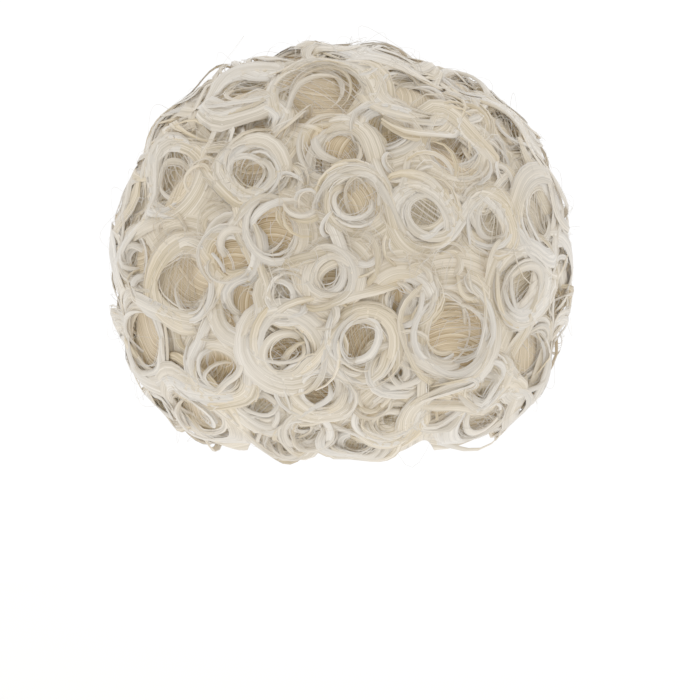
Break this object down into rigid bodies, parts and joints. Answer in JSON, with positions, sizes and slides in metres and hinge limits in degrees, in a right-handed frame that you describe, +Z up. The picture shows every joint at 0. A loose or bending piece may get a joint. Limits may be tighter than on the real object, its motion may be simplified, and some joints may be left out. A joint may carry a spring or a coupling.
{
  "type": "short curly wig",
  "caption": "Short, full wig of pale blonde ring curls in fields on a close net cap, with an open hollow for the head and an arch for the face.",
  "frame": {"origin": "the point inside the cap that rests on the crown of the head", "axes": "+X to the wearer's right, +Y the way the wearer faces, +Z up"},
  "size_m": [0.3332, 0.2939, 0.2956],
  "materials": {
    "hair": "fine synthetic hair with a soft sheen",
    "cap_net": "matt knitted net"
  },
  "bodies": {
    "root": {"cap": "cap_net", "crown_curls": "hair", "fringe_curls": "hair", "right_side_curls": "hair", "left_side_curls": "hair", "back_curls": "hair", "nape_curls": "hair"}
  },
  "joints": []
}
